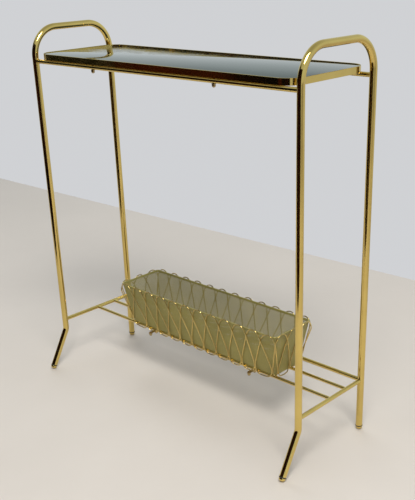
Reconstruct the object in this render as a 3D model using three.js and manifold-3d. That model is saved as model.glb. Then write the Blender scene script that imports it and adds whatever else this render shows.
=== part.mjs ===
// A brass tube console table with a magazine rack.
//
// Two bent end frames carry a shallow tray with a glass top. Low rods between the end frames
// hold a perforated sheet liner inside one continuous looped wire.
//
// Millimetres. X runs from the left end to the right, Y from the front to the rear, Z up.
// The origin is on the floor, below the middle of the stand's outline.

import * as THREE from "three";
import { mergeVertices } from "three/addons/utils/BufferGeometryUtils.js";
import Module from "manifold-3d";

const wasm = await Module();
wasm.setup();

// ---- driving dimensions ----

const CLEARANCE = 0.3; // left wherever two pieces meet

// End frames
const HEIGHT = 800; // floor to the top of the arches
const TUBE_R = 7;
const TUBE_WALL = 1;
const END_X = 364; // end frame's plane, each side of the middle
const LEG_Y = 102.7; // straight part of each leg, in front of and behind the middle
const ARCH_R = 58; // bend of the tube's centreline at the top
const KICK_Z = 91; // where the front leg bends forward
const KICK_OUT = 51.4; // how far the front foot reaches forward at the floor
const KICK_R = 22; // bend of the tube's centreline at the kick

// Feet
const CAP_R = 6.7;
const CAP_DOME = 4.5; // height of the domed end of a foot cap
const CAP_SKIRT = 2.5; // straight part above the dome
const RING_R = 7.6;
const RING_T = 1.8;
const STEM_R = 3; // stem of the cap, through the ring and into the tube

// Rails and rods
const RAIL_R = 4.5;
const RAIL_WALL = 1;
const ROD_R = 3.5;
const TOP_RAIL_Z = 726;
const LOW_Z = 115.5; // cross bars, lower rear rail and rods
const ROD_YS = { front: -1, middle: 51.5 };

// Tray
const TRAY_X = 351; // half of the band's outside length
const TRAY_Y = LEG_Y + RAIL_R; // the band is flush with the rails' outer sides
const TRAY_CORNER = 35;
const BAND_H = 12.3;
const BAND_T = 1.2;
const LEDGE_W = 10;
const LEDGE_T = 1.2;
const LEDGE_UP = 3.8; // underside of the ledge above the band's lower edge
const GLASS_T = 6;
const SCREW_X = 169;
const SCREW_R = 1.5;
const SCREW_HEAD_R = 2.7;

// Cap nuts
const NUT_R = 3.6;
const NUT_H = 7;
const NUT_GRIP = 4.5; // depth of its blind hole

// Basket
const BASKET_Y = 38;
const FLOOR_Z = LOW_Z + ROD_R + CLEARANCE;
const BASKET_H = 98;
const BASE_X = 223; // half of the floor's length
const BASE_Y = 40;
const RIM_X = 237;
const RIM_Y = 58;
const BASKET_CORNER = 6;
const SHEET_T = 1.2;
const RIM_Z = FLOOR_Z + BASKET_H;
const HEM_H = 5;
const HEM_OUT = 0.8;

// Looped wire
const WIRE_R = 1.25;
const WIRE_PROUD = 3; // wire's centreline outside the liner's faces
const WIRE_PASS = WIRE_R + 0.15; // each leg's shift where two pass or touch
const LONG_LOOPS = 12;
const END_LOOPS = 3;
const LOOP_TOP = 2; // top of a loop above the liner's rim
const CROSS_DROP = 20; // where neighbouring legs cross, below the rim
const LEG_DROP = 79; // lower end of a leg's straight part
const TOUCH_DROP = 86; // where neighbouring legs touch
const FRONT_BEND_DROP = 107.4; // lower bends of the front hook under the front rod
const FREE_BEND_DROP = 105;
const RAISED_BEND_DROP = 96; // bends that stay above a rod

// Clamps that hold the basket on the rods
const CLAMP_X = 156;
const CLAMP_NUT_Y = 9; // screws each side of the front rod
const CLAMP_DROP = 3.6; // top of the clamp's plate below the underside of the rod
const CLAMP_T = 1.2;
const CLAMP_WIDTH = 8;
const CLAMP_HEAD_T = 1.2;

// ---- materials ----

const metal = (color, roughness) =>
  new THREE.MeshStandardMaterial({ color, roughness, metalness: 1 });
const polishedBrass = () => metal(0xb99655, 0.18);
const agedBrass = () => metal(0xa08a4c, 0.35);
const perforatedBrass = () => metal(0x8d8554, 0.5);
const darkRing = () =>
  new THREE.MeshStandardMaterial({ color: 0x1c1814, roughness: 0.7, metalness: 0 });
const blackGlass = () =>
  new THREE.MeshStandardMaterial({ color: 0x0d1211, roughness: 0.05, metalness: 0 });

// ---- solids ----

const stand = new THREE.Group();

function add(name, geometry, material) {
  const mesh = new THREE.Mesh(geometry, material);
  mesh.name = name;
  stand.add(mesh);
  return mesh;
}

function toSolid(geometry) {
  const bare = geometry.index ? geometry.toNonIndexed() : geometry.clone();
  bare.deleteAttribute("normal");
  bare.deleteAttribute("uv");
  const merged = mergeVertices(bare, 1e-4);
  return new wasm.Manifold(
    new wasm.Mesh({
      numProp: 3,
      vertProperties: merged.attributes.position.array,
      triVerts: new Uint32Array(merged.index.array),
    }),
  );
}

function toGeometry(solid) {
  const mesh = solid.getMesh();
  const geometry = new THREE.BufferGeometry();
  geometry.setAttribute("position", new THREE.BufferAttribute(mesh.vertProperties, 3));
  geometry.setIndex(new THREE.BufferAttribute(mesh.triVerts, 1));
  geometry.computeVertexNormals();
  return geometry;
}

function cut(geometry, ...tools) {
  let solid = toSolid(geometry);
  for (const tool of tools) solid = solid.subtract(toSolid(tool));
  return toGeometry(solid);
}

// A path with one section exactly at each of its points.
class PointPath extends THREE.Curve {
  constructor(points) {
    super();
    this.points = points;
  }
  getPoint(t) {
    const last = this.points.length - 1;
    const i = Math.min(Math.floor(t * last), last - 1);
    return this.points[i].clone().lerp(this.points[i + 1], t * last - i);
  }
  getSpacedPoints() {
    return this.points;
  }
  getTangentAt(t) {
    const last = this.points.length - 1;
    const i = Math.round(t * last);
    const before = this.points[Math.max(i - 1, 0)];
    const after = this.points[Math.min(i + 1, last)];
    const here = this.points[i];
    const into = here.clone().sub(before).normalize();
    const out = after.clone().sub(here).normalize();
    return into.add(out).normalize();
  }
}

function circlePoints(radius, sides) {
  return Array.from({ length: sides }, (_, i) => {
    const angle = ((i + 0.5) / sides) * 2 * Math.PI;
    return new THREE.Vector2(radius * Math.cos(angle), radius * Math.sin(angle));
  });
}

function sweep(points, radius, sides, wall = 0) {
  const section = new THREE.Shape(circlePoints(radius, sides));
  if (wall) section.holes.push(new THREE.Path(circlePoints(radius - wall, sides)));
  return new THREE.ExtrudeGeometry(section, {
    steps: points.length - 1,
    extrudePath: new PointPath(points),
  });
}

function roundBar(from, to, radius, sides = 16) {
  return sweep([from, to], radius, sides);
}

function lathe(profile, sides) {
  const points = profile.map(([r, z]) => new THREE.Vector2(r, z));
  const turned = new THREE.LatheGeometry(points, sides);
  turned.rotateX(Math.PI / 2);
  return turned;
}

// Points on an arc in the YZ plane at a given X, from one angle to another in degrees.
function arcYZ(x, centreY, centreZ, radius, fromDeg, toDeg, steps) {
  return Array.from({ length: steps + 1 }, (_, i) => {
    const angle = THREE.MathUtils.degToRad(fromDeg + ((toDeg - fromDeg) * i) / steps);
    return new THREE.Vector3(
      x,
      centreY + radius * Math.cos(angle),
      centreZ + radius * Math.sin(angle),
    );
  });
}

// ---- end frames and feet ----

const KICK_TILT = Math.atan2(KICK_OUT, KICK_Z);

// Height of the dome's middle above the floor when the foot leans by a given angle.
const domeRest = (tilt) => Math.hypot(CAP_R * Math.sin(tilt), CAP_DOME * Math.cos(tilt));

function footPlaces(x) {
  const lean = domeRest(KICK_TILT);
  const frontY = -LEG_Y - (KICK_Z - lean) * Math.tan(KICK_TILT);
  return {
    front: { origin: new THREE.Vector3(x, frontY, lean), tilt: KICK_TILT },
    rear: { origin: new THREE.Vector3(x, LEG_Y, domeRest(0)), tilt: 0 },
  };
}

// A point along a foot's axis, a distance above the middle of its dome.
function alongFoot({ origin, tilt }, distance) {
  return new THREE.Vector3(
    origin.x,
    origin.y + distance * Math.sin(tilt),
    origin.z + distance * Math.cos(tilt),
  );
}

const RING_UP = CAP_SKIRT + CLEARANCE;
const TUBE_UP = RING_UP + RING_T + CLEARANCE;

function endFramePath(x) {
  const feet = footPlaces(x);
  const topZ = HEIGHT - TUBE_R;
  const tiltDeg = THREE.MathUtils.radToDeg(KICK_TILT);
  const bendBelow = KICK_R * Math.tan(KICK_TILT / 2);
  return [
    alongFoot(feet.front, TUBE_UP),
    ...arcYZ(x, -LEG_Y - KICK_R, KICK_Z + bendBelow, KICK_R, -tiltDeg, 0, 3),
    ...arcYZ(x, -LEG_Y + ARCH_R, topZ - ARCH_R, ARCH_R, 180, 90, 6),
    ...arcYZ(x, LEG_Y - ARCH_R, topZ - ARCH_R, ARCH_R, 90, 0, 6),
    alongFoot(feet.rear, TUBE_UP),
  ];
}

function footCap() {
  const dome = [];
  for (let i = 0; i <= 4; i += 1) {
    const angle = (i / 4) * (Math.PI / 2);
    dome.push([CAP_R * Math.sin(angle), -CAP_DOME * Math.cos(angle)]);
  }
  const stemTop = TUBE_UP + 6;
  return lathe([...dome, [CAP_R, CAP_SKIRT], [STEM_R, CAP_SKIRT], [STEM_R, stemTop], [0, stemTop]], 16);
}

function footRing() {
  const inner = STEM_R + CLEARANCE;
  return lathe(
    [[inner, 0], [RING_R, 0], [RING_R, RING_T], [inner, RING_T], [inner, 0]],
    16,
  );
}

for (const [side, x] of [["left", -END_X], ["right", END_X]]) {
  add(`${side}_end_frame`, sweep(endFramePath(x), TUBE_R, 12, TUBE_WALL), polishedBrass());
  for (const [end, place] of Object.entries(footPlaces(x))) {
    const cap = add(`foot_cap_${side}_${end}`, footCap(), polishedBrass());
    cap.position.copy(place.origin);
    cap.rotation.x = -place.tilt;
    const ring = add(`foot_ring_${side}_${end}`, footRing(), darkRing());
    ring.position.copy(alongFoot(place, RING_UP));
    ring.rotation.x = -place.tilt;
  }
}

// ---- rails, cross bars and rods ----

const legTool = (x, y, z) =>
  roundBar(
    new THREE.Vector3(x, y, z - 20),
    new THREE.Vector3(x, y, z + 20),
    TUBE_R + CLEARANCE,
    24,
  );

// A rail along X between two legs, hollow, its ends coped to the legs.
function legRail(y, z, extraTools = []) {
  const ends = [new THREE.Vector3(-END_X, y, z), new THREE.Vector3(END_X, y, z)];
  const tube = sweep(ends, RAIL_R, 12, RAIL_WALL);
  return cut(tube, legTool(-END_X, y, z), legTool(END_X, y, z), ...extraTools);
}

const screwHole = (x, y) =>
  roundBar(
    new THREE.Vector3(x, y, TOP_RAIL_Z - 10),
    new THREE.Vector3(x, y, TOP_RAIL_Z + 10),
    SCREW_R + CLEARANCE,
    12,
  );

for (const [end, y] of [["front", -LEG_Y], ["rear", LEG_Y]]) {
  const holes = [screwHole(-SCREW_X, y), screwHole(SCREW_X, y)];
  add(`top_rail_${end}`, legRail(y, TOP_RAIL_Z, holes), polishedBrass());
}
add("lower_rail_rear", legRail(LEG_Y, LOW_Z), polishedBrass());

for (const [side, x] of [["left", -END_X], ["right", END_X]]) {
  const ends = [new THREE.Vector3(x, -LEG_Y, LOW_Z), new THREE.Vector3(x, LEG_Y, LOW_Z)];
  const bar = sweep(ends, RAIL_R, 12, RAIL_WALL);
  const coped = cut(bar, legTool(x, -LEG_Y, LOW_Z), legTool(x, LEG_Y, LOW_Z));
  add(`cross_bar_${side}`, coped, polishedBrass());
}

for (const [place, y] of Object.entries(ROD_YS)) {
  const rod = roundBar(
    new THREE.Vector3(-END_X, y, LOW_Z),
    new THREE.Vector3(END_X, y, LOW_Z),
    ROD_R,
    12,
  );
  const barTools = [-END_X, END_X].map((x) =>
    roundBar(
      new THREE.Vector3(x, y - 20, LOW_Z),
      new THREE.Vector3(x, y + 20, LOW_Z),
      RAIL_R + CLEARANCE,
      24,
    ),
  );
  add(`shelf_rod_${place}`, cut(rod, ...barTools), polishedBrass());
}

// ---- tray ----

function roundedRectangle(halfX, halfY, radius, arcSteps) {
  const points = [];
  const corners = [[1, 1, 0], [-1, 1, 90], [-1, -1, 180], [1, -1, 270]];
  for (const [sx, sy, start] of corners) {
    for (let i = 0; i <= arcSteps; i += 1) {
      const angle = THREE.MathUtils.degToRad(start + (90 * i) / arcSteps);
      points.push(
        new THREE.Vector2(
          sx * (halfX - radius) + radius * Math.cos(angle),
          sy * (halfY - radius) + radius * Math.sin(angle),
        ),
      );
    }
  }
  return points;
}

// A plate or ring with rounded corners: inset from the band's outside, between two heights.
function trayRing(outerInset, innerInset, lowZ, highZ) {
  const outline = (inset) =>
    roundedRectangle(TRAY_X - inset, TRAY_Y - inset, TRAY_CORNER - inset, 5);
  const shape = new THREE.Shape(outline(outerInset));
  if (innerInset) shape.holes.push(new THREE.Path(outline(innerInset)));
  const ring = new THREE.ExtrudeGeometry(shape, { depth: highZ - lowZ, bevelEnabled: false });
  return ring.translate(0, 0, lowZ);
}

const BAND_LOW = TOP_RAIL_Z + RAIL_R + CLEARANCE;
const LEDGE_LOW = BAND_LOW + LEDGE_UP;
const LEDGE_TOP = LEDGE_LOW + LEDGE_T;
const GLASS_LOW = LEDGE_TOP + CLEARANCE;
const SCREW_PLACES = [];
for (const [end, y] of [["front", -LEG_Y], ["rear", LEG_Y]]) {
  SCREW_PLACES.push([`left_${end}`, -SCREW_X, y], [`right_${end}`, SCREW_X, y]);
}

// A countersunk screw, its head's underside at z 0 and its shank hanging down.
function sunkScrew(headR, shankR, headT, length) {
  return lathe([[0, -length], [shankR, -length], [shankR, 0], [headR, headT], [0, headT]], 12);
}

// The hole that such a screw's head sits in.
function sunkHole(x, y, z) {
  const wide = SCREW_HEAD_R + CLEARANCE;
  const narrow = SCREW_R + CLEARANCE;
  const past = 2;
  const profile = [[0, -past], [narrow, -past], [narrow, 0], [wide, LEDGE_T]];
  profile.push([wide, LEDGE_T + past], [0, LEDGE_T + past]);
  return lathe(profile, 12).translate(x, y, z);
}

// A cap nut whose flat end is at z 0, with a blind hole for its screw.
function capNut() {
  const domeStart = NUT_H - NUT_R;
  const profile = [];
  for (let i = 0; i <= 4; i += 1) {
    const angle = (i / 4) * (Math.PI / 2);
    profile.push([NUT_R * Math.sin(angle), -domeStart - NUT_R * Math.cos(angle)]);
  }
  const hole = SCREW_R + CLEARANCE;
  profile.push([NUT_R, 0], [hole, 0], [hole, -NUT_GRIP], [0, -NUT_GRIP]);
  return lathe(profile, 12);
}

const bandWall = toSolid(trayRing(0, BAND_T, BAND_LOW, BAND_LOW + BAND_H));
const ledge = toSolid(trayRing(BAND_T / 2, BAND_T + LEDGE_W, LEDGE_LOW, LEDGE_TOP));
let band = bandWall.add(ledge);
for (const [, x, y] of SCREW_PLACES) band = band.subtract(toSolid(sunkHole(x, y, LEDGE_LOW)));
add("tray_band", toGeometry(band), polishedBrass());
add("glass_top", trayRing(BAND_T + 0.5, 0, GLASS_LOW, GLASS_LOW + GLASS_T), blackGlass());

const RAIL_UNDER = TOP_RAIL_Z - RAIL_R - CLEARANCE;
for (const [place, x, y] of SCREW_PLACES) {
  const length = LEDGE_LOW - RAIL_UNDER + NUT_GRIP - 1;
  const screw = sunkScrew(SCREW_HEAD_R, SCREW_R, LEDGE_T, length);
  add(`tray_screw_${place}`, screw, agedBrass()).position.set(x, y, LEDGE_LOW);
  add(`tray_nut_${place}`, capNut(), agedBrass()).position.set(x, y, RAIL_UNDER);
}

// ---- basket liner ----

// Half size of the liner's outside at a drop below its rim.
function halfSizeAt(drop) {
  const rise = THREE.MathUtils.clamp(1 - drop / BASKET_H, 0, 1.1);
  return {
    x: THREE.MathUtils.lerp(BASE_X, RIM_X, rise),
    y: THREE.MathUtils.lerp(BASE_Y, RIM_Y, rise),
  };
}

// A rounded block between two drops, its sides flared as the liner's are and moved out by grow.
function flaredBlock(lowDrop, highDrop, grow) {
  const low = halfSizeAt(lowDrop);
  const high = halfSizeAt(highDrop);
  const outline = roundedRectangle(low.x + grow, low.y + grow, BASKET_CORNER + grow, 3);
  const depth = lowDrop - highDrop;
  const block = new THREE.ExtrudeGeometry(new THREE.Shape(outline), { depth, bevelEnabled: false });
  const place = block.attributes.position;
  for (let i = 0; i < place.count; i += 1) {
    if (place.getZ(i) > depth / 2) {
      place.setX(i, place.getX(i) + Math.sign(place.getX(i)) * (high.x - low.x));
      place.setY(i, place.getY(i) + Math.sign(place.getY(i)) * (high.y - low.y));
    }
  }
  return toSolid(block.translate(0, BASKET_Y, RIM_Z - lowDrop));
}

const clampScrewHole = (x) =>
  toSolid(
    roundBar(
      new THREE.Vector3(x, ROD_YS.front + CLAMP_NUT_Y, FLOOR_Z - 2),
      new THREE.Vector3(x, ROD_YS.front + CLAMP_NUT_Y, FLOOR_Z + 4),
      SCREW_R + CLEARANCE,
      12,
    ),
  );

const liner = flaredBlock(BASKET_H, 0, 0)
  .add(flaredBlock(HEM_H, 0, HEM_OUT))
  .subtract(flaredBlock(BASKET_H - SHEET_T, -1, -SHEET_T))
  .subtract(clampScrewHole(-CLAMP_X))
  .subtract(clampScrewHole(CLAMP_X));
add("basket_liner", toGeometry(liner), perforatedBrass());

// ---- looped wire ----

const ALL_LOOPS = 2 * (LONG_LOOPS + END_LOOPS);

// Where the wire is: u in loops round the basket from the front left corner, a drop below the
// rim, and a shift outward from the wire's usual plane.
function wirePoint(u, drop, shift) {
  const half = halfSizeAt(drop);
  const x = half.x + WIRE_PROUD + shift;
  const y = half.y + WIRE_PROUD + shift;
  const corners = [[-x, -y], [x, -y], [x, y], [-x, y]];
  let along = ((u % ALL_LOOPS) + ALL_LOOPS) % ALL_LOOPS;
  let side = 0;
  const sideLoops = [LONG_LOOPS, END_LOOPS, LONG_LOOPS, END_LOOPS];
  while (along >= sideLoops[side]) {
    along -= sideLoops[side];
    side += 1;
  }
  const [x0, y0] = corners[side];
  const [x1, y1] = corners[(side + 1) % 4];
  const share = along / sideLoops[side];
  return new THREE.Vector3(
    THREE.MathUtils.lerp(x0, x1, share),
    BASKET_Y + THREE.MathUtils.lerp(y0, y1, share),
    RIM_Z - drop,
  );
}

// Width of one loop along the wire's plane, in millimetres, near a place u.
function pitchAt(u) {
  const along = ((u % ALL_LOOPS) + ALL_LOOPS) % ALL_LOOPS;
  const onEnd =
    (along > LONG_LOOPS && along < LONG_LOOPS + END_LOOPS) ||
    along > 2 * LONG_LOOPS + END_LOOPS;
  return onEnd ? (2 * BASE_Y) / END_LOOPS : (2 * BASE_X) / LONG_LOOPS;
}

// Drop of the lower bend that is centred on crossing number k.
function bendDrop(k) {
  const onFront = k > 0 && k < LONG_LOOPS;
  const onRear = k > LONG_LOOPS + END_LOOPS && k < 2 * LONG_LOOPS + END_LOOPS;
  if (onFront) return FRONT_BEND_DROP;
  const betweenRods = k === LONG_LOOPS + 1 || k === ALL_LOOPS - 1;
  return onRear || betweenRods ? FREE_BEND_DROP : RAISED_BEND_DROP;
}

// How far the wire leaves its plane low down, to pass in front of the front rod and hook under it.
function lowShift(k, drop, bottom) {
  const onFront = k > 0 && k < LONG_LOOPS;
  const lower = THREE.MathUtils.clamp((drop - TOUCH_DROP) / 8, 0, 1);
  const hook = bottom > BASKET_H ? THREE.MathUtils.smoothstep(drop, bottom - 4, bottom) : 0;
  return onFront ? 1.3 * lower - 2.6 * hook : -2 * hook;
}

// Half of a loop, from its crossing's lower bend up to the next arch's top: [across, drop, pass].
// Across is in loops from the crossing, towards the side that the leg comes from when negative.
function halfLoop(k) {
  const bottom = bendDrop(k);
  const path = [];
  const apart = WIRE_PASS / pitchAt(k - 0.25);
  const reach = 0.5 - apart;
  for (let i = 0; i < 3; i += 1) {
    const angle = (i / 3) * (Math.PI / 2);
    const across = -reach * Math.sin(angle) ** 0.8;
    path.push([across, TOUCH_DROP + (bottom - TOUCH_DROP) * Math.cos(angle) ** 0.8, 0]);
  }
  path.push([-reach, TOUCH_DROP, 0], [-reach * 0.97, LEG_DROP, 0], [0, CROSS_DROP, -1]);
  const slope = (reach * 0.97) / (LEG_DROP - CROSS_DROP);
  const arch = new THREE.CubicBezierCurve(
    new THREE.Vector2(0, CROSS_DROP),
    new THREE.Vector2(slope * 9, CROSS_DROP - 9),
    new THREE.Vector2(0.2, -LOOP_TOP),
    new THREE.Vector2(0.5, -LOOP_TOP),
  );
  for (let i = 1; i < 4; i += 1) {
    const { x, y } = arch.getPoint(i / 4);
    path.push([x, y, i < 2 ? -0.5 : 0]);
  }
  return path;
}

// The wire starts and ends at a bend under the rear side, its ends a small gap apart.
const WIRE_START = LONG_LOOPS + END_LOOPS + 5;
const wirePath = [];
for (let i = 0; i < ALL_LOOPS; i += 1) {
  const k = (WIRE_START + i) % ALL_LOOPS;
  const next = (k + 1) % ALL_LOOPS;
  for (const [across, drop, pass] of halfLoop(k)) {
    const shift = pass * WIRE_PASS + lowShift(k, drop, bendDrop(k));
    wirePath.push(wirePoint(k + across, drop, shift));
  }
  wirePath.push(wirePoint(k + 0.5, -LOOP_TOP, 0));
  for (const [across, drop, pass] of halfLoop(next).slice(1).reverse()) {
    const shift = -pass * WIRE_PASS + lowShift(next, drop, bendDrop(next));
    wirePath.push(wirePoint(next - across, drop, shift));
  }
}
const startGap = WIRE_PASS / pitchAt(WIRE_START);
const rearShift = lowShift(WIRE_START, FREE_BEND_DROP, FREE_BEND_DROP);
wirePath[0] = wirePoint(WIRE_START - startGap / 2, FREE_BEND_DROP, rearShift);
wirePath.push(wirePoint(WIRE_START + startGap / 2, FREE_BEND_DROP, rearShift));
add("basket_wire", sweep(wirePath, WIRE_R, 5), polishedBrass());

// ---- basket clamps ----

const CLAMP_TOP = LOW_Z - ROD_R - CLAMP_DROP;
const CLAMP_UNDER = CLAMP_TOP - CLAMP_T - CLEARANCE;

// A small plate with round ends across the rod, with a hole for each screw.
function clampPlate() {
  const outline = roundedRectangle(CLAMP_WIDTH / 2, CLAMP_NUT_Y + 3.9, CLAMP_WIDTH / 2 - 0.1, 4);
  const shape = new THREE.Shape(outline);
  for (const y of [-CLAMP_NUT_Y, CLAMP_NUT_Y]) {
    const hole = circlePoints(SCREW_R + CLEARANCE, 12).map((p) => p.add(new THREE.Vector2(0, y)));
    shape.holes.push(new THREE.Path(hole));
  }
  return new THREE.ExtrudeGeometry(shape, { depth: CLAMP_T, bevelEnabled: false });
}

for (const [side, x] of [["left", -CLAMP_X], ["right", CLAMP_X]]) {
  const plate = add(`clamp_plate_${side}`, clampPlate(), agedBrass());
  plate.position.set(x, ROD_YS.front, CLAMP_TOP - CLAMP_T);
  const heads = { front: CLAMP_TOP + CLEARANCE, rear: FLOOR_Z + SHEET_T + CLEARANCE };
  for (const [end, headZ] of Object.entries(heads)) {
    const y = ROD_YS.front + (end === "front" ? -CLAMP_NUT_Y : CLAMP_NUT_Y);
    const length = headZ - CLAMP_UNDER + NUT_GRIP - 1;
    const screw = sunkScrew(SCREW_HEAD_R, SCREW_R, CLAMP_HEAD_T, length);
    add(`clamp_screw_${side}_${end}`, screw, agedBrass()).position.set(x, y, headZ);
    add(`clamp_nut_${side}_${end}`, capNut(), agedBrass()).position.set(x, y, CLAMP_UNDER);
  }
}

// The middle of the outline on the floor becomes the origin.
const outline = new THREE.Box3().setFromObject(stand, true);
stand.position.y = -(outline.min.y + outline.max.y) / 2;
stand.position.z = -outline.min.z;

export default stand;
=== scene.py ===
"""Looks of the brass tube console with a magazine basket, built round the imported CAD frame.

Metres, in the row frame: X from the left end to the right, Y from front to rear, Z up.
"""

import math

import bmesh
import bpy
from mathutils import Matrix, Vector


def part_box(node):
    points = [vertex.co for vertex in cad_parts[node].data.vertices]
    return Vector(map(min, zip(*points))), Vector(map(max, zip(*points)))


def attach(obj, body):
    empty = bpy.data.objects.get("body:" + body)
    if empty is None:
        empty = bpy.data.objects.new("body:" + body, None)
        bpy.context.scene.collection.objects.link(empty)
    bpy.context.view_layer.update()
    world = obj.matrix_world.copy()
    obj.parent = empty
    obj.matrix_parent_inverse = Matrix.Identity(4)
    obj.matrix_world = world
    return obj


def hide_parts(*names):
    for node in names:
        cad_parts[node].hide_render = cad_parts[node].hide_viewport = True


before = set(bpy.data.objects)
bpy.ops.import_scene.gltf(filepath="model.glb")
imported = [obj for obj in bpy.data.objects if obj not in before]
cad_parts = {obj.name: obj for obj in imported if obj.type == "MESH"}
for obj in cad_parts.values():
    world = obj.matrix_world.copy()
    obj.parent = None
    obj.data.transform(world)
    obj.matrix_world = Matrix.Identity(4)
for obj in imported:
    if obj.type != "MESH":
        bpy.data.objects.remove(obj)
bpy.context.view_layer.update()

# ---- sizes of the design, in metres ----

TUBE_R = 0.007
ARCH_R = 0.058
KICK_Z = 0.091
KICK_OUT = 0.0514
KICK_R = 0.022
CAP_R = 0.0067
CAP_DOME = 0.0045
CAP_SKIRT = 0.0025
RING_R = 0.0076
RING_T = 0.0018
GAP = 0.0003  # between pieces that are fixed to each other
RAIL_R = 0.0045
ROD_R = 0.0035
TRAY_CORNER = 0.035
BAND_T = 0.0012
EDGE = 0.0004  # softened edge of folded sheet and strip
LEDGE_W = 0.010
LEDGE_T = 0.0012
NUT_R = 0.0036
FLANGE_OUT = 0.0006
FLANGE_H = 0.0009
WIRE_R = 0.00125
WIRE_PROUD = 0.003
LONG_LOOPS = 12
END_LOOPS = 3
LINER_T = 0.0008
MESH_STEP = 0.0021  # half of a perforation's diagonal pitch
MESH_HOLE = 0.64  # a hole's share of its cell


def middle(node):
    low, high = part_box(node)
    return (low + high) / 2


# Places that the frame gives
MID_Y = middle("cross_bar_left").y  # halfway between the front and rear legs
END_X = middle("right_end_frame").x
LEG_Y = middle("foot_ring_left_rear").y - MID_Y
TOP_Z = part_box("left_end_frame")[1].z
LOW_Z = middle("cross_bar_left").z
TOP_RAIL_Z = middle("top_rail_front").z

# ---- materials ----


class NodeTree:
    """Adds nodes to a tree and links them, by small calls."""

    def __init__(self, tree):
        self.nodes, self.links = tree.nodes, tree.links

    def fill(self, socket, value):
        if isinstance(value, bpy.types.NodeSocket):
            self.links.new(value, socket)
        else:
            socket.default_value = value

    def node(self, kind, inputs=None, **settings):
        made = self.nodes.new(kind)
        for key, value in settings.items():
            setattr(made, key, value)
        for key, value in (inputs or {}).items():
            self.fill(made.inputs[key], value)
        return made

    def ramp(self, factor, *stops):
        made = self.node("ShaderNodeValToRGB", {"Fac": factor})
        elements = made.color_ramp.elements
        while len(elements) < len(stops):
            elements.new(0.5)
        for element, (position, colour) in zip(elements, stops):
            element.position = position
            element.color = (*colour, 1)
        return made.outputs["Color"]

    def mix(self, factor, a, b, blend="MIX"):
        made = self.node("ShaderNodeMix", data_type="RGBA", blend_type=blend)
        for index, value in ((0, factor), (6, a), (7, b)):
            self.fill(made.inputs[index], value)
        return made.outputs[2]


class Shader(NodeTree):
    """A node material with a Principled shader."""

    def __init__(self, name, **values):
        self.material = bpy.data.materials.new(name)
        self.material.use_nodes = True
        super().__init__(self.material.node_tree)
        self.principled = self.nodes["Principled BSDF"]
        for socket, value in values.items():
            self.principled.inputs[socket.replace("_", " ")].default_value = value
        self.place = self.nodes.new("ShaderNodeTexCoord").outputs["Object"]

    def noise(self, scale, detail=3.0, rough=0.5, stretch=(1, 1, 1), distortion=0.0):
        mapping = self.node("ShaderNodeMapping", {"Vector": self.place, "Scale": stretch})
        inputs = {"Vector": mapping.outputs[0], "Scale": scale, "Detail": detail}
        inputs |= {"Roughness": rough, "Distortion": distortion}
        return self.node("ShaderNodeTexNoise", inputs).outputs["Fac"]

    def span(self, factor, low, high, to_low, to_high):
        inputs = {"Value": factor, "From Min": low, "From Max": high}
        inputs |= {"To Min": to_low, "To Max": to_high}
        return self.node("ShaderNodeMapRange", inputs).outputs["Result"]

    def set(self, socket, value):
        self.links.new(value, self.principled.inputs[socket])

    def bump(self, height, strength, distance):
        inputs = {"Height": height, "Strength": strength, "Distance": distance}
        self.set("Normal", self.node("ShaderNodeBump", inputs).outputs["Normal"])


def brass_material(name, bright, dull, spot, roughness, wear):
    """Polished brass with soft tarnish, fine spots and faint polishing marks."""
    s = Shader(name, Metallic=1.0)
    cloud = s.noise(9.0, 4.0, 0.6)
    tone = s.ramp(cloud, (0.35, bright), (0.62, dull))
    specks = s.noise(420.0, 2.0, 0.7)
    spotting = s.span(specks, 0.66, 0.78, 0.0, wear)
    s.set("Base Color", s.mix(spotting, tone, (*spot, 1)))
    smear = s.noise(38.0, 5.0, 0.65, distortion=0.6)
    s.set("Roughness", s.span(smear, 0.3, 0.75, roughness, roughness + 0.10))
    marks = s.noise(900.0, 2.0, 0.5, stretch=(1, 1, 0.08))
    s.bump(marks, 0.025, 0.0002)
    return s.material


def perforated_material():
    s = Shader("perforated_sheet", Metallic=0.4)
    cloud = s.noise(14.0, 4.0, 0.6)
    tone = s.ramp(cloud, (0.3, (0.44, 0.38, 0.12)), (0.7, (0.34, 0.30, 0.10)))
    dust = s.noise(160.0, 3.0, 0.6)
    s.set("Base Color", s.mix(s.span(dust, 0.5, 0.8, 0.0, 0.5), tone, (0.32, 0.30, 0.15, 1)))
    s.set("Roughness", s.span(cloud, 0.3, 0.7, 0.36, 0.52))
    s.bump(s.noise(700.0, 2.0, 0.5), 0.12, 0.0002)
    return s.material


def glass_material():
    s = Shader("dark_glass", IOR=1.75, Specular_Tint=(0.90, 1.0, 0.97, 1))
    depth = s.noise(3.0, 2.0, 0.5)
    s.set("Base Color", s.ramp(depth, (0.3, (0.003, 0.010, 0.009)), (0.7, (0.005, 0.014, 0.012))))
    haze = s.noise(22.0, 5.0, 0.7, distortion=0.8)
    s.set("Roughness", s.span(haze, 0.4, 0.8, 0.025, 0.09))
    return s.material


def ring_material():
    s = Shader("dark_ring")
    grain = s.noise(600.0, 3.0, 0.6)
    s.set("Base Color", s.ramp(grain, (0.3, (0.012, 0.010, 0.008)), (0.7, (0.035, 0.028, 0.022))))
    s.set("Roughness", s.span(grain, 0.3, 0.7, 0.5, 0.75))
    s.bump(grain, 0.2, 0.0003)
    return s.material


def floor_material():
    s = Shader("floor")
    cloud = s.noise(1.6, 5.0, 0.6)
    s.set("Base Color", s.ramp(cloud, (0.3, (0.66, 0.61, 0.55)), (0.7, (0.71, 0.66, 0.60))))
    s.set("Roughness", s.span(cloud, 0.3, 0.7, 0.5, 0.62))
    return s.material


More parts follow.
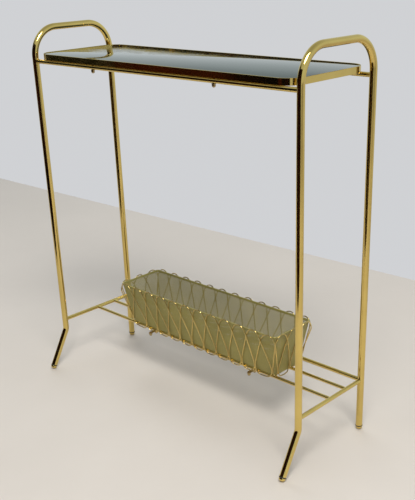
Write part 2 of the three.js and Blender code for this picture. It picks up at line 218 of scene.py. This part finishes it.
BRASS = brass_material(
    "polished_brass", (0.76, 0.58, 0.19), (0.67, 0.50, 0.16), (0.30, 0.20, 0.07), 0.05, 0.35
)
WIRE_BRASS = brass_material(
    "wire_brass", (0.72, 0.56, 0.21), (0.44, 0.33, 0.12), (0.12, 0.08, 0.03), 0.08, 0.6
)
AGED_BRASS = brass_material(
    "aged_brass", (0.50, 0.38, 0.18), (0.34, 0.25, 0.12), (0.10, 0.07, 0.04), 0.24, 0.8
)
PERFORATED = perforated_material()
GLASS = glass_material()
RING = ring_material()

# ---- mesh helpers ----


def add_mesh(name, vertices, faces, material, smooth=True):
    mesh = bpy.data.meshes.new(name)
    mesh.from_pydata([tuple(v) for v in vertices], [], faces)
    mesh.materials.append(material)
    mesh.polygons.foreach_set("use_smooth", [smooth] * len(mesh.polygons))
    mesh.update()
    made = bpy.data.objects.new(name, mesh)
    bpy.context.scene.collection.objects.link(made)
    return made


def stand_for(piece, *nodes, slot):
    """The piece rides with the stand and is shown in place of these CAD nodes."""
    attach(piece, "root")
    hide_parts(*nodes)
    return piece


def sweep(name, path, radius, material, sides=24, closed=False):
    """A round bar along a path, its section carried along without twist."""
    points = [Vector(p) for p in path]
    count = len(points)
    tangents = []
    for i in range(count):
        before = points[i - 1] if closed or i else points[0]
        after = points[(i + 1) % count] if closed or i < count - 1 else points[-1]
        tangents.append((after - before).normalized())
    side = tangents[0].orthogonal().normalized()
    vertices, faces = [], []
    for point, tangent in zip(points, tangents):
        side = (side - tangent * side.dot(tangent)).normalized()
        other = tangent.cross(side)
        for k in range(sides):
            angle = 2 * math.pi * k / sides
            vertices.append(point + (side * math.cos(angle) + other * math.sin(angle)) * radius)
    for i in range(count if closed else count - 1):
        for k in range(sides):
            a, b = i * sides + k, i * sides + (k + 1) % sides
            c, d = ((i + 1) % count) * sides + (k + 1) % sides, ((i + 1) % count) * sides + k
            faces.append((a, b, c, d))
    if not closed:
        faces.append(tuple(reversed(range(sides))))
        faces.append(tuple((count - 1) * sides + k for k in range(sides)))
    made = add_mesh(name, vertices, faces, material)
    made.data.set_sharp_from_angle(angle=math.radians(50))
    return made


def arc(centre_y, centre_z, radius, start, end, steps, x):
    """Points on an arc in the YZ plane, angles in degrees."""
    points = []
    for i in range(steps + 1):
        angle = math.radians(start + (end - start) * i / steps)
        y = centre_y + radius * math.cos(angle)
        points.append((x, y, centre_z + radius * math.sin(angle)))
    return points


def lathe(name, profile, place, tilt, material, sides=40):
    """A turned piece. Its axis leans towards the rear at the top by tilt, about its place."""
    bm = bmesh.new()
    rings = []
    for r, z in profile:
        if r < 1e-7:
            rings.append([bm.verts.new((0, 0, z))])
        else:
            angles = [2 * math.pi * k / sides for k in range(sides)]
            rings.append([bm.verts.new((r * math.cos(a), r * math.sin(a), z)) for a in angles])
    for low, high in zip(rings, rings[1:]):
        for k in range(sides):
            n = (k + 1) % sides
            if len(low) == 1:
                bm.faces.new((low[0], high[n], high[k]))
            elif len(high) == 1:
                bm.faces.new((low[k], low[n], high[0]))
            else:
                bm.faces.new((low[k], low[n], high[n], high[k]))
    bm.transform(Matrix.Translation(place) @ Matrix.Rotation(-tilt, 4, "X"))
    mesh = bpy.data.meshes.new(name)
    bm.to_mesh(mesh)
    bm.free()
    mesh.materials.append(material)
    mesh.polygons.foreach_set("use_smooth", [True] * len(mesh.polygons))
    mesh.set_sharp_from_angle(angle=math.radians(40))
    made = bpy.data.objects.new(name, mesh)
    bpy.context.scene.collection.objects.link(made)
    return made


def quarter(radius_r, radius_z, centre_r, centre_z, start, end, steps):
    """Profile points on a quarter ellipse, angles in degrees from the axis direction."""
    points = []
    for i in range(steps + 1):
        a = math.radians(start + (end - start) * i / steps)
        points.append((centre_r + radius_r * math.sin(a), centre_z - radius_z * math.cos(a)))
    return points


# ---- end frames and feet ----

KICK_TILT = math.atan2(KICK_OUT, KICK_Z)


def dome_rest(tilt):
    """Height of a foot dome's middle above the floor."""
    return math.hypot(CAP_R * math.sin(tilt), CAP_DOME * math.cos(tilt))


def make_end(side, x):
    ring_up = CAP_SKIRT + GAP
    tube_up = ring_up + RING_T + GAP
    lean = dome_rest(KICK_TILT)
    front = Vector((x, MID_Y - LEG_Y - (KICK_Z - lean) * math.tan(KICK_TILT), lean))
    rear = Vector((x, MID_Y + LEG_Y, dome_rest(0)))
    feet = {"front": (front, KICK_TILT), "rear": (rear, 0.0)}
    axis = {end: Vector((0, math.sin(t), math.cos(t))) for end, (_, t) in feet.items()}
    top = TOP_Z - TUBE_R
    tilt_deg = math.degrees(KICK_TILT)
    bend_low = KICK_Z + KICK_R * math.tan(KICK_TILT / 2)
    front_y, rear_y = MID_Y - LEG_Y, MID_Y + LEG_Y
    path = [front + axis["front"] * tube_up]
    path += arc(front_y - KICK_R, bend_low, KICK_R, -tilt_deg, 0, 10, x)
    path += arc(front_y + ARCH_R, top - ARCH_R, ARCH_R, 180, 90, 28, x)
    path += arc(rear_y - ARCH_R, top - ARCH_R, ARCH_R, 90, 0, 28, x)
    path.append(rear + axis["rear"] * tube_up)
    tube = sweep(f"{side}_end_tube", path, TUBE_R, BRASS, sides=32)
    stand_for(tube, f"{side}_end_frame", slot="polished_brass")
    for end, (place, tilt) in feet.items():
        dome = quarter(CAP_R, CAP_DOME, 0, 0, 0, 90, 10)
        edge = quarter(0.0006, -0.0006, CAP_R - 0.0006, CAP_SKIRT - 0.0006, 90, 0, 4)
        cap = lathe(
            f"{side}_{end}_foot_cap", [*dome, *edge, (0, CAP_SKIRT)], place, tilt, BRASS
        )
        stand_for(cap, f"foot_cap_{side}_{end}", slot="polished_brass")
        lip = 0.0006
        rim = [(0, 0), (RING_R - lip, 0), (RING_R, lip), (RING_R, RING_T - lip)]
        rim += [(RING_R - lip, RING_T), (0, RING_T)]
        ring = lathe(f"{side}_{end}_foot_ring", rim, place + axis[end] * ring_up, tilt, RING)
        stand_for(ring, f"foot_ring_{side}_{end}", slot="dark_ring")


make_end("left", -END_X)
make_end("right", END_X)

# ---- rails, cross bars and rods ----

SEAT = 0.0017  # how far a round bar's flat end goes into the tube that it is brazed to


def make_bar(name, node, start, end, radius):
    stand_for(sweep(name, [start, end], radius, BRASS, sides=28), node, slot="polished_brass")


def rail_reach(into):
    return END_X - into + SEAT


for node, y, z in (
    ("top_rail_front", MID_Y - LEG_Y, TOP_RAIL_Z),
    ("top_rail_rear", MID_Y + LEG_Y, TOP_RAIL_Z),
    ("lower_rail_rear", MID_Y + LEG_Y, LOW_Z),
):
    reach = rail_reach(TUBE_R)
    make_bar(node.replace("_rail", "_rail_bar"), node, (-reach, y, z), (reach, y, z), RAIL_R)
for side, x in (("left", -END_X), ("right", END_X)):
    reach = LEG_Y - TUBE_R + SEAT
    start, end = (x, MID_Y - reach, LOW_Z), (x, MID_Y + reach, LOW_Z)
    make_bar(f"{side}_cross_bar", f"cross_bar_{side}", start, end, RAIL_R)
for place in ("front", "middle"):
    y = middle(f"shelf_rod_{place}").y
    reach = rail_reach(RAIL_R)
    start, end = (-reach, y, LOW_Z), (reach, y, LOW_Z)
    make_bar(f"{place}_shelf_bar", f"shelf_rod_{place}", start, end, ROD_R)

# ---- tray ----


def rounded_outline(half_x, half_y, radius, steps=14):
    points = []
    for sx, sy, start in ((1, 1, 0), (-1, 1, 90), (-1, -1, 180), (1, -1, 270)):
        for i in range(steps + 1):
            a = math.radians(start + 90 * i / steps)
            x = sx * (half_x - radius) + radius * math.cos(a)
            y = sy * (half_y - radius) + radius * math.sin(a)
            points.append((x, y))
    return points


def ring_of_section(name, half_x, half_y, corner, centre_y, section, material):
    """Carries a closed section round a rounded rectangle. The section's points are (in, up)."""
    outlines = [rounded_outline(half_x - i, half_y - i, max(corner - i, 1e-4)) for i, _ in section]
    count, along = len(section), len(outlines[0])
    vertices = []
    for k in range(along):
        for (_, up), outline in zip(section, outlines):
            vertices.append((outline[k][0], centre_y + outline[k][1], up))
    faces = []
    for k in range(along):
        n = (k + 1) % along
        for j in range(count):
            m = (j + 1) % count
            faces.append((k * count + j, n * count + j, n * count + m, k * count + m))
    made = add_mesh(name, vertices, faces, material)
    made.data.set_sharp_from_angle(angle=math.radians(35))
    return made


def plate(name, half_x, half_y, corner, centre_y, low, high, bevel, material):
    """A flat plate with rounded corners and softly ground edges."""
    soft = bevel * 0.3  # a step between the side and the upper bevel
    levels = [(bevel, low), (0.0, low + bevel), (0.0, high - bevel)]
    levels += [(soft, high - soft), (bevel, high)]
    outlines = [rounded_outline(half_x - i, half_y - i, corner - i) for i, _ in levels]
    along = len(outlines[0])
    vertices = []
    for outline, (_, z) in zip(outlines, levels):
        vertices += [(x, centre_y + y, z) for x, y in outline]
    faces = [tuple(reversed(range(along)))]
    for j in range(len(levels) - 1):
        for k in range(along):
            n = (k + 1) % along
            faces.append((j * along + k, j * along + n, (j + 1) * along + n, (j + 1) * along + k))
    faces.append(tuple((len(levels) - 1) * along + k for k in range(along)))
    made = add_mesh(name, vertices, faces, material)
    made.data.set_sharp_from_angle(angle=math.radians(30))
    return made


def make_tray():
    low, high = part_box("tray_band")
    glass_low, glass_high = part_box("glass_top")
    half_x, half_y = (high.x - low.x) / 2, (high.y - low.y) / 2
    e = EDGE
    ledge_in, ledge_top = BAND_T + LEDGE_W, glass_low.z - GAP
    ledge_low = ledge_top - LEDGE_T
    section = [
        (e, low.z), (0, low.z + e), (0, high.z - e), (e, high.z), (BAND_T - e, high.z),
        (BAND_T, high.z - e), (BAND_T, ledge_top), (ledge_in, ledge_top), (ledge_in, ledge_low),
        (BAND_T, ledge_low), (BAND_T, low.z + e), (BAND_T - e, low.z),
    ]
    band = ring_of_section("tray_rim", half_x, half_y, TRAY_CORNER, MID_Y, section, BRASS)
    stand_for(band, "tray_band", slot="polished_brass")
    glass_x, glass_y = (glass_high.x - glass_low.x) / 2, (glass_high.y - glass_low.y) / 2
    corner = TRAY_CORNER - (half_x - glass_x)
    sheet = plate(
        "glass_sheet", glass_x, glass_y, corner, MID_Y, glass_low.z, glass_high.z, 0.0008, GLASS
    )
    stand_for(sheet, "glass_top", slot="dark_glass")


make_tray()

# ---- fasteners ----


def make_nut(node):
    low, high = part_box(node)
    place = Vector(((low.x + high.x) / 2, (low.y + high.y) / 2, high.z))
    depth = high.z - low.z
    dome = quarter(NUT_R, NUT_R, 0, NUT_R - depth, 0, 90, 8)
    wide = NUT_R + FLANGE_OUT
    flange = [(NUT_R, -FLANGE_H), (wide, -FLANGE_OUT), (wide, 0), (0, 0)]
    nut = lathe(f"{node}_turned", [*dome, *flange], place, 0.0, AGED_BRASS, sides=28)
    stand_for(nut, node, slot="aged_brass")


for node in sorted(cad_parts):
    if "_nut_" in node:
        make_nut(node)
    elif "_screw_" in node or node.startswith("clamp_plate"):
        cad_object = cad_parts[node]
        cad_object.data.materials.clear()
        cad_object.data.materials.append(AGED_BRASS)

# ---- basket liner ----

LINER_LOW, LINER_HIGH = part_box("basket_liner")
BASKET_Y = (LINER_LOW.y + LINER_HIGH.y) / 2
HEM_OUT = 0.0008
HEM_IN = 0.0005
HEM_H = 0.005
FLARE_X, FLARE_Y = 0.014, 0.018  # how far each wall leans out over its height
RIM_X = LINER_HIGH.x - HEM_OUT
RIM_Y = (LINER_HIGH.y - LINER_LOW.y) / 2 - HEM_OUT
RIM_Z = LINER_HIGH.z
BASKET_H = LINER_HIGH.z - LINER_LOW.z
CORNER = 0.006


def half_size(drop):
    rise = min(max(1 - drop / BASKET_H, 0.0), 1.1)
    return RIM_X - FLARE_X * (1 - rise), RIM_Y - FLARE_Y * (1 - rise)


def perforated_panel(name, place, columns, rows):
    """A sheet of diamond cells, each with a diamond hole.

    place(u, v) gives a point of the sheet for u and v from 0 to 1.
    """
    index, vertices, faces = {}, [], []

    def vertex(i, j):
        key = (round(i, 4), round(j, 4))
        if key not in index:
            index[key] = len(vertices)
            vertices.append(place(i / columns, j / rows))
        return index[key]

    for i in range(columns + 1):
        for j in range(rows + 1):
            if (i + j) % 2:
                continue
            corners = [(i + 1, j), (i, j + 1), (i - 1, j), (i, j - 1)]
            inside = [(0 <= a <= columns and 0 <= b <= rows) for a, b in corners]
            if all(inside):
                outer = [vertex(a, b) for a, b in corners]
                inner = [
                    vertex(i + (a - i) * MESH_HOLE, j + (b - j) * MESH_HOLE) for a, b in corners
                ]
                for k in range(4):
                    n = (k + 1) % 4
                    faces.append((outer[k], outer[n], inner[n], inner[k]))
            else:
                centre = vertex(i, j)
                for k in range(4):
                    n = (k + 1) % 4
                    if inside[k] and inside[n]:
                        faces.append((centre, vertex(*corners[k]), vertex(*corners[n])))
    made = add_mesh(name, vertices, faces, PERFORATED, smooth=False)
    thick = made.modifiers.new("thickness", "SOLIDIFY")
    thick.thickness = LINER_T
    thick.offset = -1
    return made


def wall_place(axis, sign):
    """Places on one flared wall of the liner, rounded into its neighbours at the corners."""

    def place(u, v):
        hx, hy = half_size((1 - v) * BASKET_H)
        along, across = (hx, hy) if axis == "x" else (hy, hx)
        s = (2 * u - 1) * along
        over = abs(s) - (along - CORNER)
        depth = across
        if over > 0:
            angle = over / CORNER * (math.pi / 4)
            depth = across - CORNER * (1 - math.cos(angle))
            s = math.copysign(along - CORNER + CORNER * math.sin(angle), s)
        z = RIM_Z - BASKET_H * (1 - v)
        if axis == "x":
            return (s * -sign, BASKET_Y + sign * depth, z)
        return (sign * depth, BASKET_Y + s * sign, z)

    return place


def make_liner():
    rows = round(BASKET_H / MESH_STEP)
    rows += rows % 2
    long_columns = round(2 * (RIM_X - FLARE_X / 2) / MESH_STEP / 2) * 2
    end_columns = round(2 * (RIM_Y - FLARE_Y / 2) / MESH_STEP / 2) * 2
    walls = [
        perforated_panel("liner_front", wall_place("x", -1), long_columns, rows),
        perforated_panel("liner_rear", wall_place("x", 1), long_columns, rows),
        perforated_panel("liner_left", wall_place("y", -1), end_columns, rows),
        perforated_panel("liner_right", wall_place("y", 1), end_columns, rows),
    ]
    base_x, base_y = half_size(BASKET_H)
    inset = 0.001

    def floor_place(u, v):
        x = (2 * u - 1) * (base_x - inset)
        y = (2 * v - 1) * (base_y - inset)
        return (x, BASKET_Y + y, LINER_LOW.z + LINER_T)

    floor_rows = round(2 * base_y / MESH_STEP / 2) * 2
    walls.append(perforated_panel("liner_floor", floor_place, long_columns, floor_rows))
    for wall in walls:
        stand_for(wall, "basket_liner", slot="perforated_sheet")
    e = EDGE
    outer, inner = HEM_OUT, LINER_T + HEM_IN
    section = []
    for across, up in (
        (-outer + e, RIM_Z - HEM_H), (-outer, RIM_Z - HEM_H + e), (-outer, RIM_Z - e),
        (-outer + e, RIM_Z), (inner - e, RIM_Z), (inner, RIM_Z - e),
        (inner, RIM_Z - HEM_H + e), (inner - e, RIM_Z - HEM_H),
    ):
        section.append((across + (RIM_Z - up) * FLARE_Y / BASKET_H, up))
    hem = ring_of_section("liner_hem", RIM_X, RIM_Y, CORNER, BASKET_Y, section, PERFORATED)
    stand_for(hem, "basket_liner", slot="perforated_sheet")


make_liner()

# ---- looped wire ----

WIRE_PASS = WIRE_R + 0.00015
ALL_LOOPS = 2 * (LONG_LOOPS + END_LOOPS)
CORNER_CROSSINGS = (0, LONG_LOOPS, LONG_LOOPS + END_LOOPS, 2 * LONG_LOOPS + END_LOOPS)
LOOP_TOP = 0.002
CROSS_DROP = 0.020
LEG_DROP = 0.079
TOUCH_DROP = 0.086
FRONT_BEND = 0.1074
FREE_BEND = 0.105
RAISED_BEND = 0.096
LEG_PASS = 0.15  # a leg's share of its sideways pass where it leaves the lower bend
NARROWER = 0.26  # how much nearer a corner the bends beside it touch, in loops


def wire_point(u, drop, shift):
    """A point u loops round the basket from its front left corner.

    It is a drop below the rim, and a shift out from the wire's usual plane.
    """
    hx, hy = half_size(drop)
    x, y = hx + WIRE_PROUD + shift, hy + WIRE_PROUD + shift
    corners = [(-x, -y), (x, -y), (x, y), (-x, y)]
    along, side = u % ALL_LOOPS, 0
    lengths = (LONG_LOOPS, END_LOOPS, LONG_LOOPS, END_LOOPS)
    while along >= lengths[side]:
        along -= lengths[side]
        side += 1
    (x0, y0), (x1, y1) = corners[side], corners[(side + 1) % 4]
    share = along / lengths[side]
    return Vector((x0 + (x1 - x0) * share, BASKET_Y + y0 + (y1 - y0) * share, RIM_Z - drop))


def pitch_at(u):
    along = u % ALL_LOOPS
    hx, hy = half_size(BASKET_H)
    on_end = LONG_LOOPS < along < LONG_LOOPS + END_LOOPS or along > 2 * LONG_LOOPS + END_LOOPS
    return 2 * hy / END_LOOPS if on_end else 2 * hx / LONG_LOOPS


def bend_drop(k):
    if 0 < k < LONG_LOOPS:
        return FRONT_BEND
    on_rear = LONG_LOOPS + END_LOOPS < k < 2 * LONG_LOOPS + END_LOOPS
    free = on_rear or k in (LONG_LOOPS + 1, ALL_LOOPS - 1)
    return FREE_BEND if free else RAISED_BEND


def smooth(value):
    t = min(max(value, 0.0), 1.0)
    return t * t * (3 - 2 * t)


def low_shift(k, drop, bottom):
    """How far the wire leaves its plane low down, to pass the front rod and hook under it."""
    hook = smooth((drop - bottom + 0.004) / 0.004) if bottom > BASKET_H else 0.0
    if 0 < k < LONG_LOOPS:
        return 0.0013 * min(max((drop - TOUCH_DROP) / 0.008, 0), 1) - 0.0026 * hook
    return -0.002 * hook


def bezier(a, b, c, d, t):
    s = 1 - t
    return a * s**3 + 3 * b * s * s * t + 3 * c * s * t * t + d * t**3


def touch_shift(u):
    """How far the place where two lower bends touch, halfway by u, moves towards a corner."""
    if (u + 0.5) % ALL_LOOPS in CORNER_CROSSINGS:
        return NARROWER
    return -NARROWER if (u - 0.5) % ALL_LOOPS in CORNER_CROSSINGS else 0.0


def half_loop(k, side):
    """From a crossing's lower bend up to the next arch's top: (across, drop, pass) points."""
    bottom = bend_drop(k)
    reach = 0.5 + side * touch_shift(k + side * 0.5) - WIRE_PASS / pitch_at(k + side * 0.25)
    path = []
    for i in range(10):
        angle = i / 10 * math.pi / 2
        across = -reach * math.sin(angle) ** 0.8
        path.append((across, TOUCH_DROP + (bottom - TOUCH_DROP) * math.cos(angle) ** 0.8, 0.0))
    low = -reach * 0.97
    path.append((-reach, TOUCH_DROP, 0.0))
    path.append((low, LEG_DROP, -LEG_PASS))
    for i in range(1, 5):
        t = i / 5
        drop = LEG_DROP + (CROSS_DROP - LEG_DROP) * t
        path.append((low * (1 - t), drop, -LEG_PASS - (1 - LEG_PASS) * smooth(t)))
    path.append((0.0, CROSS_DROP, -1.0))
    slope = -low / (LEG_DROP - CROSS_DROP)
    for i in range(1, 12):
        t = i / 12
        across = bezier(0.0, slope * 0.009, 0.2, 0.5, t)
        drop = bezier(CROSS_DROP, CROSS_DROP - 0.009, -LOOP_TOP, -LOOP_TOP, t)
        path.append((across, drop, -(1 - smooth(t * 2))))
    return path


def make_wire():
    points = []
    for k in range(ALL_LOOPS):
        after = (k + 1) % ALL_LOOPS
        for across, drop, crossing in half_loop(k, -1):
            shift = crossing * WIRE_PASS + low_shift(k, drop, bend_drop(k))
            points.append(wire_point(k + across, drop, shift))
        points.append(wire_point(k + 0.5, -LOOP_TOP, 0.0))
        for across, drop, crossing in reversed(half_loop(after, 1)[1:]):
            shift = -crossing * WIRE_PASS + low_shift(after, drop, bend_drop(after))
            points.append(wire_point(after - across, drop, shift))
    wire = sweep("looped_wire", points, WIRE_R, WIRE_BRASS, sides=10, closed=True)
    stand_for(wire, "basket_wire", slot="polished_brass")


make_wire()

# ---- floor, light and camera ----


def make_floor():
    """A pale floor. Its rear edge runs a little askew to the stand."""
    reach_x, front_y, rear_right_y, rear_left_y = 8.0, -3.0, 1.25, 0.62
    corners = [(-reach_x, front_y, 0), (reach_x, front_y, 0)]
    corners += [(reach_x, rear_right_y, 0), (-reach_x, rear_left_y, 0)]
    ground = add_mesh("floor", corners, [(0, 1, 2, 3)], floor_material(), smooth=False)


def make_flag():
    """A dark card at the front left, seen only in the brass, where it draws the dark strips."""
    outline = [(-2.4, 0.01), (1.05, 0.01), (1.05, 1.3), (-1.13, 1.3), (-1.13, 0.5), (-2.4, 0.5)]
    corners = [(x, -0.9, z) for x, z in outline]
    s = Shader("flag", Specular_IOR_Level=0.0)
    warm = s.noise(2.4, 3.0, 0.5)
    s.set("Base Color", s.ramp(warm, (0.45, (0.006, 0.005, 0.004)), (0.68, (0.07, 0.016, 0.006))))
    card = add_mesh("flag", corners, [(0, 1, 2, 3, 4, 5)], s.material, smooth=False)
    card.visible_camera = False
    card.visible_diffuse = False
    card.visible_shadow = False


def make_world():
    """Pale to the camera. Brass and glass see a room that is bright above and dark at the left."""
    world = bpy.data.worlds.new("studio")
    bpy.context.scene.world = world
    world.use_nodes = True
    world.node_tree.nodes.clear()
    tree = NodeTree(world.node_tree)
    direction = tree.node("ShaderNodeTexCoord").outputs["Generated"]
    towards_left_front = {0: direction, 1: (-0.70, -0.70, -0.15)}
    towards = tree.node("ShaderNodeVectorMath", towards_left_front, operation="DOT_PRODUCT")
    dark = tree.ramp(towards.outputs["Value"], (0.62, (1, 1, 1)), (0.80, (0.02, 0.018, 0.015)))
    up = tree.node("ShaderNodeSeparateXYZ", {0: direction}).outputs["Z"]
    height = tree.node("ShaderNodeMapRange", {"Value": up, "From Min": -1.0}).outputs["Result"]
    bright = tree.ramp(
        height,
        (0.30, (0.55, 0.50, 0.44)),
        (0.50, (0.64, 0.69, 0.70)),
        (0.66, (0.68, 0.75, 0.75)),
        (1.0, (0.40, 0.43, 0.42)),
    )
    seen = tree.mix(1.0, bright, dark, "MULTIPLY")

    def background(colour, strength=1.0):
        made = tree.node("ShaderNodeBackground", {"Color": colour, "Strength": strength})
        return made.outputs[0]

    def choose(ray, otherwise, chosen):
        made = tree.node("ShaderNodeMixShader", {0: rays[ray], 1: otherwise, 2: chosen})
        return made.outputs[0]

    rays = tree.node("ShaderNodeLightPath").outputs
    soft = background((0.95, 0.97, 1.0, 1), 0.43)
    pale = background((0.63, 0.64, 0.66, 1))
    light = choose("Is Glossy Ray", soft, background(seen))
    light = choose("Is Camera Ray", light, pale)
    tree.node("ShaderNodeOutputWorld", {"Surface": light})


def add_area_light(name, place, target, size, power, colour):
    data = bpy.data.lights.new(name, "AREA")
    data.size, data.energy, data.color = size, power, colour
    light = bpy.data.objects.new(name, data)
    bpy.context.scene.collection.objects.link(light)
    light.location = place
    light.rotation_euler = (Vector(target) - Vector(place)).to_track_quat("-Z", "Y").to_euler()
    return light


def make_lights():
    add_area_light("key", (1.2, -0.9, 2.6), (0, 0, 0.3), 1.0, 56, (1.0, 0.98, 0.95))
    fill = add_area_light("fill", (-1.6, 1.2, 2.4), (0, 0, 0.4), 1.6, 18, (0.95, 0.98, 1.0))
    fill.visible_glossy = False


def make_camera():
    """The main viewpoint: a step back from the right front corner, a little above the top."""
    place = Vector((1.2213, MID_Y - 1.1847, 0.9405))
    yaw, pitch, roll = -0.7631, 0.4087, -0.029
    forward = Vector(
        (math.sin(yaw) * math.cos(pitch), math.cos(yaw) * math.cos(pitch), -math.sin(pitch))
    )
    level = Vector((math.cos(yaw), -math.sin(yaw), 0))
    up = level.cross(forward)
    right = level * math.cos(roll) + up * math.sin(roll)
    up = up * math.cos(roll) - level * math.sin(roll)
    data = bpy.data.cameras.new("camera")
    data.lens = 60.3
    data.sensor_width = 36
    data.shift_x, data.shift_y = -0.04, 0.12
    data.clip_start = 0.05
    camera = bpy.data.objects.new("camera", data)
    bpy.context.scene.collection.objects.link(camera)
    turn = Matrix((right, up, -forward)).transposed().to_4x4()
    camera.matrix_world = Matrix.Translation(place) @ turn
    bpy.context.scene.camera = camera


make_floor()
make_flag()
make_world()
make_lights()
make_camera()
bpy.context.scene.view_settings.view_transform = "Standard"
